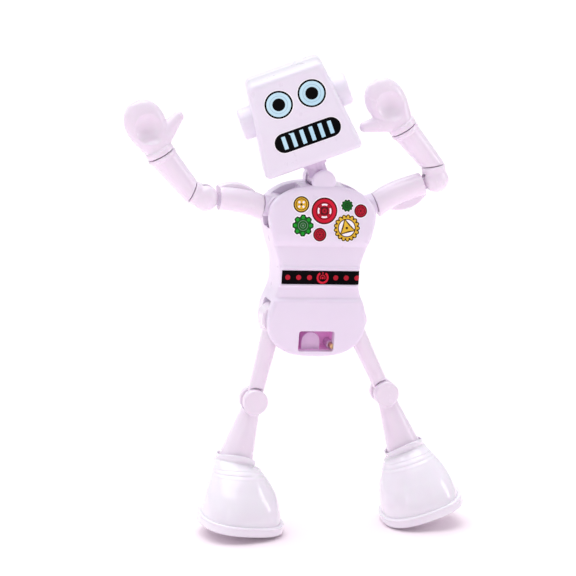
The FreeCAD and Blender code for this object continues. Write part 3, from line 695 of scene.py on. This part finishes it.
badge.disc(BELT_SHIFT, 26.9, 0.38, 0.15, 0.21, RED, 32)
badge.poly([(BELT_SHIFT - 0.3, 28.85), (BELT_SHIFT, 27.75), (BELT_SHIFT + 0.3, 28.85)], 0.15, 0.21, CRIMSON)
badge.done("belt_badge", TORSO, "torso", ("belt_buckle",), "belt_red")

# chest gears
slope = math.atan2(2.0, 16.6)


def chest_at(u, v, h):
    y = -7.3 + SHELL_DY - (57.6 - v) * 2.0 / 16.6
    return (u, y - (h + 0.012) * math.cos(slope), v + (h + 0.012) * math.sin(slope))


g = Print(chest_at)
H = 0.02
# gold disc with four pale holes
x, z, r = -7.7, 51.4, 2.7
g.disc(x, z, r + 0.32, 0, H, HALO)
g.disc(x, z, r, H, 2 * H, BROWN)
g.disc(x, z, r - 0.44, 2 * H, 3 * H, GOLD)
g.ring(x, z, r - 1.0, r - 0.78, 3 * H, 3.5 * H, BROWN)
for a in (45, 135, 225, 315):
    g.disc(x + 1.02 * math.cos(math.radians(a)), z + 1.02 * math.sin(math.radians(a)), 0.4, 3 * H, 4 * H, HALO, 28)
g.disc(x, z, 0.36, 3 * H, 4 * H, BROWN, 24)
# big red ring gear with four slots and a squared hub
x, z, r = 0.2, 49.4, 4.4
g.disc(x, z, r + 0.35, 0, H, HALO)
g.disc(x, z, r, H, 2 * H, MAROON)
g.disc(x, z, r - 0.5, 2 * H, 3 * H, RED)
g.ring(x, z, 2.62, 2.86, 3 * H, 3.5 * H, MAROON)
g.disc(x, z, 2.62, 3 * H, 3.4 * H, CRIMSON)
for a in (0, 90, 180, 270):
    g.ring(x, z, 1.8, 2.36, 3.4 * H, 4.4 * H, HALO, 16, a - 26, a + 26)
g.poly([(x + p, z + q) for p, q in arc(0.85, 0.85, 0.45, 0, 90, 5) + arc(-0.85, 0.85, 0.45, 90, 180, 5)
        + arc(-0.85, -0.85, 0.45, 180, 270, 5) + arc(0.85, -0.85, 0.45, 270, 360, 5)], 3.4 * H, 4.4 * H, MAROON)
g.disc(x, z, 0.85, 4.4 * H, 5 * H, CRIMSON, 40)
g.disc(x, z, 0.3, 5 * H, 5.5 * H, MAROON, 24)
# small dark green gear
x, z, r = 7.9, 51.25, 2.05
g.gear(x, z, teeth(r + 0.3, 0.22, 10, 0.55), 0, H, HALO)
g.gear(x, z, teeth(r, 0.28, 10, 0.55), H, 2 * H, INK)
g.gear(x, z, teeth(r - 0.3, 0.24, 10, 0.55), 2 * H, 3 * H, DGREEN)
g.ring(x, z, 0.62, 0.82, 3 * H, 4 * H, INK, 48)
g.disc(x, z, 0.24, 3 * H, 4 * H, INK, 24)
# two crimson discs
for x, z, r in ((12.6, 49.6, 2.2), (-1.15, 41.6, 2.25)):
    g.disc(x, z, r + 0.3, 0, H, HALO)
    g.disc(x, z, r, H, 2 * H, MAROON)
    g.disc(x, z, r - 0.42, 2 * H, 3 * H, CRIMSON)
    g.ring(x, z, 1.2, 1.42, 3 * H, 4 * H, MAROON, 56)
    for a in range(0, 360, 60):
        g.disc(x + 0.85 * math.cos(math.radians(a)), z + 0.85 * math.sin(math.radians(a)), 0.17, 3 * H, 4 * H, MAROON, 16)
    g.disc(x, z, 0.32, 3 * H, 4 * H, MAROON, 24)
# green gear of eight teeth
x, z, r = -6.95, 44.5, 3.6
g.gear(x, z, teeth(r + 0.36, 0.5, 8, 0.68, 0.5), 0, H, HALO)
g.gear(x, z, teeth(r, 0.62, 8, 0.66, 0.5), H, 2 * H, INK)
g.disc(x, z, 2.62, 2 * H, 2.6 * H, DGREEN)
for k in range(8):
    a = 2 * PI * k / 8
    g.disc(x + 2.66 * math.cos(a), z + 2.66 * math.sin(a), 0.56, 2.6 * H, 3.2 * H, GREEN, 28)
g.ring(x, z, 1.5, 1.72, 3.2 * H, 4 * H, GREY, 56)
g.disc(x, z, 1.36, 2.6 * H, 3.6 * H, DGREEN, 48)
g.ring(x, z, 0.72, 0.92, 3.6 * H, 4.4 * H, GREY, 40)
g.disc(x, z, 0.32, 3.6 * H, 4.4 * H, GREY, 24)
# gold ring gear with beads round it and a three-sided web
x, z, r = 8.0, 43.9, 4.5
g.gear(x, z, teeth(r + 0.25, 0.35, 17, 0.6), 0, H, HALO, 204)
for k in range(17):
    a = 2 * PI * k / 17
    g.disc(x + 3.9 * math.cos(a), z + 3.9 * math.sin(a), 0.64, H, 2 * H, BROWN, 20)
g.ring(x, z, 2.72, 4.15, H, 2 * H, BROWN)
g.ring(x, z, 3.05, 3.45, 2 * H, 3 * H, GOLD)
for k in range(17):
    a = 2 * PI * k / 17
    g.disc(x + 3.74 * math.cos(a), z + 3.74 * math.sin(a), 0.42, 2 * H, 3.2 * H, GOLD, 18)
    b = a + PI / 17
    g.disc(x + 3.5 * math.cos(b), z + 3.5 * math.sin(b), 0.13, 3 * H, 4 * H, BROWN, 12)
tri = [(math.cos(math.radians(a)), math.sin(math.radians(a))) for a in (105, 225, 345)]


def web(size, waist, n=10):
    """A triangle with arms that reach the ring and sides drawn in."""
    pts = []
    for k in range(3):
        (ax, ay), (bx, by_) = tri[k], tri[(k + 1) % 3]
        for i in range(n):
            t = i / n
            pull = 1 - waist * math.sin(PI * t)
            pts.append(((ax + (bx - ax) * t) * size * pull, (ay + (by_ - ay) * t) * size * pull))
    return pts


g.poly([(x + p, z + q) for p, q in web(3.3, 0.04)], H, 2 * H, BROWN, (x, z))
g.poly([(x + p, z + q) for p, q in web(2.7, 0.16)], 2 * H, 3 * H, GOLD, (x, z))
g.disc(x, z, 0.42, 3 * H, 4 * H, BROWN, 32)
g.done("chest_gears", TORSO, "torso", ("chest_gear_prints",), "chest_print")

# ---------------------------------------------------------------- head
HEAD_TOP, HEAD_BOTTOM, HEAD_H, HEAD_D, HEAD_R, HEAD_WALL, HEAD_SPLIT = 25.8, 34.0, 31.9, 17.2, 2.1, 1.6, 2.0


def head_box(inset, radius):
    a, b, h, d = HEAD_TOP / 2 - inset, HEAD_BOTTOM / 2 - inset, HEAD_H / 2 - inset, HEAD_D / 2 - inset
    v = [(-b, -d, -h), (b, -d, -h), (a, -d, h), (-a, -d, h), (-b, d, -h), (b, d, -h), (a, d, h), (-a, d, h)]
    f = [(0, 1, 2, 3), (5, 4, 7, 6), (1, 5, 6, 2), (4, 0, 3, 7), (3, 2, 6, 7), (4, 5, 1, 0)]
    o = outward(mesh("box", v, f))
    modifier(o, "BEVEL", width=radius, segments=8, limit_method="NONE", profile=0.5, offset_type="OFFSET")
    return bake(o)


def head_half(front_half):
    o = head_box(0, HEAD_R)
    boolean(o, [head_box(HEAD_WALL, 0.9), rod("Z", (0, 0, 0), 3.5, -HEAD_H / 2 - 3, -HEAD_H / 2 + 5)])
    boolean(o, [block(-30, 30, HEAD_SPLIT, 30, -30, 30) if front_half else block(-30, 30, -30, HEAD_SPLIT, -30, 30)])
    # the parting line: a small chamfer on the outer edge
    def chamfer(bm):
        bmesh.ops.remove_doubles(bm, verts=bm.verts, dist=1e-4)
        es = [e for e in bm.edges if all(abs(v.co.y - HEAD_SPLIT) < 1e-3 for v in e.verts)
              and all(max(abs(v.co.x) - (29.9 / 2 - v.co.z * 4.1 / 31.9) + 1.2, abs(v.co.z) - HEAD_H / 2 + 0.7) > 0 for v in e.verts)]
        bmesh.ops.bevel(bm, geom=es, offset=0.16, segments=2, affect="EDGES", profile=0.5, clamp_overlap=True)
    edit(o, chamfer)
    return o


place(head_half(True), "head_face_shell", HEAD, "head", HEADW, ("head_front_shell",), 24)
place(head_half(False), "head_rear_shell", HEAD, "head", HEADW, ("head_back_shell",), 24)
for s, side in ((-1, "left"), (1, "right")):
    prof = [(0, 11.0), (5.3, 11.0), (5.3, 17.7), (5.26, 18.05), (5.12, 18.35), (4.88, 18.59), (4.55, 18.73), (4.2, 18.78),
            (3.3, 18.8), (1.6, 18.8), (0, 18.8)]
    e = turned("ear", [(r, s * x) for r, x in prof], 96, "X")
    e.data.transform(T(0, 0, 2.9))
    outward(e)
    boolean(e, [head_box(0, HEAD_R)])
    place(e, f"head_ear_{side}", HEAD, "head", HEADW, (f"ear_{side}",), 30)

fy = -HEAD_D / 2


def face_at(u, v, h):
    return (u, fy - h - 0.004, v)


for s, side in ((-1, "left"), (1, "right")):
    e = Print(face_at)
    x, z = s * 5.7 + 0.9, 7.0
    e.disc(x, z, 4.98, 0, 0.02, HALO, 96)
    e.disc(x, z, 4.65, 0.02, 0.045, BLACK, 96)
    e.disc(x, z, 4.04, 0.045, 0.065, BLUE, 96)
    e.ring(x, z, 2.86, 3.02, 0.065, 0.08, BLUE_LINE, 80)
    e.disc(x, z, 2.1, 0.065, 0.1, BLACK, 80)
    e.done(f"printed_eye_{side}", HEAD, "head", (f"eye_print_{side}",), "face_print")


def stadium(cx, cz, half, r, n=20):
    return arc(cx + half, cz, r, -90, 90, n) + arc(cx - half, cz, r, 90, 270, n)


m = Print(face_at)
cx, cz, half, r = 0.9, -5.7, 8.0, 3.3
m.poly(stadium(cx, cz, half, r + 0.32), 0, 0.02, HALO, (cx, cz))
m.poly(stadium(cx, cz, half, r), 0.02, 0.05, BLACK, (cx, cz))
for k in range(6):
    x = cx + (k - 2.5) * 3.17
    w, hh = 0.67, 2.42
    if k in (0, 5):
        hh = 2.2
    c = 0.14
    pts = []
    for px, pz, a in ((w - c, hh - c, 0), (-w + c, hh - c, 90), (-w + c, -hh + c, 180), (w - c, -hh + c, 270)):
        pts += arc(x + px, cz + pz, c, a, a + 90, 4)
    if k in (0, 5):       # the end bars follow the mouth's round end
        o_ = -1 if k == 0 else 1
        ecx = cx + o_ * half
        pts = [(p, q) if (p - ecx) ** 2 + (q - cz) ** 2 < (r - 0.55) ** 2 or o_ * (p - ecx) < 0 else
               (ecx + (p - ecx) * (r - 0.55) / math.hypot(p - ecx, q - cz), cz + (q - cz) * (r - 0.55) / math.hypot(p - ecx, q - cz)) for p, q in pts]
    m.poly(pts, 0.05, 0.075, BLUE, (x, cz))
# the nick at the second bar's upper corner
x = cx - 1.5 * 3.17
m.poly([(x - 0.3, cz + 2.42), (x - 0.67, cz + 1.9), (x - 1.05, cz + 2.35), (x - 0.95, cz + 2.62)], 0.05, 0.074, BLUE)
m.done("printed_mouth", HEAD, "head", ("mouth_print",), "face_print")

# ---------------------------------------------------------------- limbs with moulded edges
for side in ("left", "right"):
    place_moulded(f"upper_arm_front_{side}", f"arm_front_half_{side}", f"upper_arm_{side}", LIMB, 0.22, 6)
    place_moulded(f"upper_arm_rear_{side}", f"arm_rear_half_{side}", f"upper_arm_{side}", LIMB, 0.22, 6)
    place_moulded(f"elbow_ball_{side}", f"elbow_joint_{side}", f"elbow_{side}", LIMB, 0.22, 6)
    place_moulded(f"forearm_{side}", f"forearm_tube_{side}", f"forearm_{side}", LIMB, 0.22, 6)
    place_moulded(f"hand_{side}", f"mitten_{side}", f"hand_{side}", LIMB, 0.22, 12)
    place_moulded(f"upper_leg_{side}", f"thigh_{side}_tube", f"thigh_{side}", LIMB, 0.25, 6)
    place_moulded(f"lower_leg_{side}", f"shin_{side}_cone", f"shin_{side}", LIMB, 0.25, 6)


# ---------------------------------------------------------------- boots
def lerp_rows(rows, z):
    pts = rows
    for a, b in zip(pts, pts[1:]):
        if a[0] <= z <= b[0]:
            t = (z - a[0]) / (b[0] - a[0])
            return tuple(p + (q - p) * t for p, q in zip(a, b))
    return pts[0] if z < pts[0][0] else pts[-1]


def super_ring(z, rx, ry, yc, e, taper=0.0, n=112, xc=0.0):
    out = []
    for i in range(n):
        a = 2 * PI * i / n
        c, d = math.cos(a), math.sin(a)
        px = rx * math.copysign(abs(c) ** e, c)
        py = ry * math.copysign(abs(d) ** e, d)
        if py > 0:
            px *= 1 - taper * (py / ry) ** 1.4
        out.append(Vector((px + xc, py + yc, z)))
    return out


def boot_upper(side):
    s, h = SIGN[side], BOOT_H
    rows = [(-h + 3.05, 13.1, 13.7, -7.2, 0.80, 0.15, 1.0), (-h + 5.2, 13.0, 13.6, -7.15, 0.82, 0.14, 1.0), (-h + 8.2, 12.6, 13.0, -6.9, 0.85, 0.12, 0.95),
            (-h + 11.4, 11.8, 11.9, -6.25, 0.89, 0.09, 0.86), (-h + 14.2, 10.6, 10.6, -5.1, 0.94, 0.05, 0.68), (-h + 16.5, 9.2, 9.3, -3.65, 0.98, 0.02, 0.45),
            (-h + 18.4, 7.9, 8.05, -2.0, 1.0, 0.0, 0.18)]
    rows = smooth_path(rows, 6)
    S = R("Y", -s * SPLAY[side])
    top = [(-2.35, 7.0, 7.05), (-2.05, 6.7, 6.75), (-1.7, 6.6, 6.62), (-1.42, 6.75, 6.77), (-1.2, 6.88, 6.9), (-0.8, 6.92, 6.94), (-0.2, 6.92, 6.94)]
    rings = []
    n = 112

    def dent(z, y, a):
        """Two fine lines that run round the front under the cuff."""
        front = max(0.0, -math.sin(a)) ** 0.6
        d = 0.0
        for zc in (-3.55, -4.65):
            d += 0.22 * math.exp(-((z - zc) / 0.22) ** 2) * front
            d -= 0.10 * math.exp(-((z - zc + 0.45) / 0.28) ** 2) * front
        return d

    def lift(a, z):
        """The front of the collar, and what lies just under it, stands higher than the sides."""
        w = min(1.0, max(0.0, (z + 9.0) / 5.4))
        return 1.45 * max(0.0, -math.sin(a)) ** 1.5 * w * w * (3 - 2 * w)

    zs = [r[0] for r in rows]
    fine = []
    for lo, hi in zip(zs, zs[1:]):
        k = 4 if hi > -h + 15.5 else 1
        fine += [lo + (hi - lo) * i / k for i in range(k)]
    fine.append(zs[-1])
    for z in fine:
        _, rx, ry, yc, e, tp, kx = lerp_rows(rows, z)
        xc = -s * SOLE_X * kx
        ring = super_ring(z, rx, ry, yc, e, tp, n, xc)
        for i, p in enumerate(ring):
            a = 2 * PI * i / n
            out = Vector((p.x - xc, p.y - yc, 0)).normalized()
            p -= out * dent(z, p.y, a)
            p.z += lift(a, z)
        rings.append(ring)
    # cuff, square to the shin, with its arched tongue in front
    def lip(a, z):
        k = max(0.0, math.cos((a - 1.5 * PI + PI) % (2 * PI) - PI))
        return z + k ** 1.5 * (1.45 + 0.7 * min(1, max(0, (z + 1.3) / 1.1)))
    for z, rx, ry in top:
        rings.append([S @ Vector((rx * math.cos(2 * PI * i / n), ry * math.sin(2 * PI * i / n), lip(2 * PI * i / n, z))) for i in range(n)])
    for dz, r in ((0.12, 6.88), (0.2, 6.76), (0.2, 6.62), (0.1, 6.5)):
        rings.append([S @ Vector((r * math.cos(2 * PI * i / n), r * math.sin(2 * PI * i / n), lip(2 * PI * i / n, -0.2) + dz)) for i in range(n)])
    for z, r in ((-1.6, 6.46), (-2.4, 6.36), (-2.5, 2.75), (-8.0, 2.75)):
        rings.append([S @ Vector((r * math.cos(2 * PI * i / n), r * math.sin(2 * PI * i / n), z)) for i in range(n)])
    return rings_mesh("upper", rings)


def boot_sole(side):
    h = BOOT_H
    prof = [(0.0, -0.9), (0.09, -0.55), (0.35, -0.22), (0.7, -0.04), (1.1, 0.0), (2.0, -0.06), (2.9, -0.12), (3.25, -0.1), (3.4, 0.0),
            (3.6, 0.06), (3.85, 0.04), (4.05, -0.1), (4.15, -0.35), (4.18, -0.7), (4.15, -1.5), (3.95, -3.0)]
    rings = []
    for z, g_ in prof:
        g_ = min(g_, 0.0)
        rings.append(super_ring(-h + z * SOLE_T / 4.3, SOLE_B + g_, SOLE_A + g_, SOLE_Y, 0.76, 0.16, 144, -SIGN[side] * SOLE_X))
    # a shallow recess under the sole
    under = [(0.0, -1.6), (0.0, -2.4), (0.35, -2.7), (0.4, -3.4)]
    for z, g_ in under:
        rings.insert(0, super_ring(-h + z, SOLE_B + g_, SOLE_A + g_, SOLE_Y, 0.76, 0.16, 144, -SIGN[side] * SOLE_X))
    return rings_mesh("sole", rings)


for side in ("left", "right"):
    F = LEG[side]["foot"]
    place(boot_upper(side), f"boot_shell_{side}", F, f"boot_{side}", BOOT, (f"boot_upper_{side}",), 55)
    place(boot_sole(side), f"boot_sole_band_{side}", F, f"boot_{side}", BOOT, (f"boot_sole_{side}",), 45)

# ---------------------------------------------------------------- finishes of the CAD nodes that stay
for name, node in frame["nodes"].items():
    if node.hide_render:
        continue
    if "screws" in name:
        mat = BRASS
    elif "pin" in name:
        mat = STEEL
    # painted shade: the neck post takes the darker, shaded neck material
    elif name == "neck_post":
        mat = NECK
    else:
        mat = WHITE
    node.data.materials.clear()
    node.data.materials.append(mat)

# ---------------------------------------------------------------- stage, light, camera
floor = mesh("floor", [(-6, -6, 0), (6, -6, 0), (6, 6, 0), (-6, 6, 0)], [(0, 1, 2, 3)])
floor.data.transform(T(0, 0, -0.0001))
fm = bpy.data.materials.new("floor_paper")
fm.use_nodes = True
b = fm.node_tree.nodes["Principled BSDF"]
b.inputs["Base Color"].default_value = (0.985, 0.89, 0.94, 1)
b.inputs["Roughness"].default_value = 0.9
b.inputs["Specular IOR Level"].default_value = 0.1
floor.data.materials.append(fm)

world = bpy.data.worlds.new("studio")
scene.world = world
world.use_nodes = True
wn = world.node_tree
bg = wn.nodes["Background"]
bg.inputs["Strength"].default_value = 1.0
# a soft tent: brighter above, behind and to the left, quieter in front
wt, ws = wn.nodes.new("ShaderNodeTexCoord"), wn.nodes.new("ShaderNodeVectorMath")
ws.operation = "DOT_PRODUCT"
ws.inputs[1].default_value = (-0.18, 0.79, 0.585)
wr = wn.nodes.new("ShaderNodeValToRGB")
wr.color_ramp.elements[0].position, wr.color_ramp.elements[0].color = 0.0, (0.31, 0.29, 0.32, 1)
wr.color_ramp.elements[1].position, wr.color_ramp.elements[1].color = 1.0, (0.84, 0.84, 0.865, 1)
stop = wr.color_ramp.elements.new(0.6)
stop.color = (0.54, 0.53, 0.555, 1)
wm = wn.nodes.new("ShaderNodeMapRange")
wm.inputs["From Min"].default_value, wm.inputs["From Max"].default_value = -1.0, 1.0
wn.links.new(wt.outputs["Generated"], ws.inputs[0])
wn.links.new(ws.outputs["Value"], wm.inputs["Value"])
wn.links.new(wm.outputs["Result"], wr.inputs["Fac"])
wn.links.new(wr.outputs["Color"], bg.inputs["Color"])
scene.view_settings.view_transform = "Standard"
scene.view_settings.look = "None"


def aimed(o, at, to):
    o.location = at
    o.rotation_mode = "QUATERNION"
    o.rotation_quaternion = (Vector(to) - Vector(at)).to_track_quat("-Z", "Y")
    return o


def lamp(name, kind, at, to, power, colour, size=None, spread=0.0):
    l = bpy.data.lights.new(name, kind)
    l.energy, l.color = power, colour
    if kind == "AREA":
        l.shape = "RECTANGLE"
        l.size, l.size_y = size
    else:
        l.angle = math.radians(spread)
    o = bpy.data.objects.new(name, l)
    scene.collection.objects.link(o)
    return aimed(o, at, to)


MID = Vector((0.0, 0.0, 0.08))
lamp("top", "SUN", MID + Vector((-0.14, 0.12, 0.98)), MID, 1.95, (0.98, 1.0, 1.0), spread=70)
lamp("front_fill", "AREA", (-0.25, -0.9, 0.42), MID, 0.45, (1.0, 0.99, 1.0), (0.7, 0.5))
lamp("left_card", "AREA", (-0.50, -0.55, 0.30), MID, 0.2, (0.98, 0.98, 1.0), (0.08, 0.35))
lamp("right_card", "AREA", (0.6, -0.15, 0.30), MID, 0.5, (0.98, 0.97, 1.0), (0.15, 0.35))

cam = bpy.data.cameras.new("camera")
cam.sensor_width = 36.0
cam.lens = 168.4
eye = bpy.data.objects.new("camera", cam)
scene.collection.objects.link(eye)
az, el = math.radians(-14.04), math.radians(11.76)
C = (Vector((0, 0, 80)) + SHIFT) / 1000
back = Vector((math.sin(az) * math.cos(el), -math.cos(az) * math.cos(el), math.sin(el)))
look = (-back).to_track_quat("-Z", "Y")
right, up = look @ Vector((1, 0, 0)), look @ Vector((0, 1, 0))
mmpx = 0.3341 / 1000
aim = C - right * (310.18 - 288) * mmpx + up * (288.34 - 288) * mmpx
eye.location = C + back * 0.9
eye.rotation_mode = "QUATERNION"
eye.rotation_quaternion = (aim - eye.location).to_track_quat("-Z", "Y")
cam.clip_start, cam.clip_end = 0.05, 50
scene.camera = eye
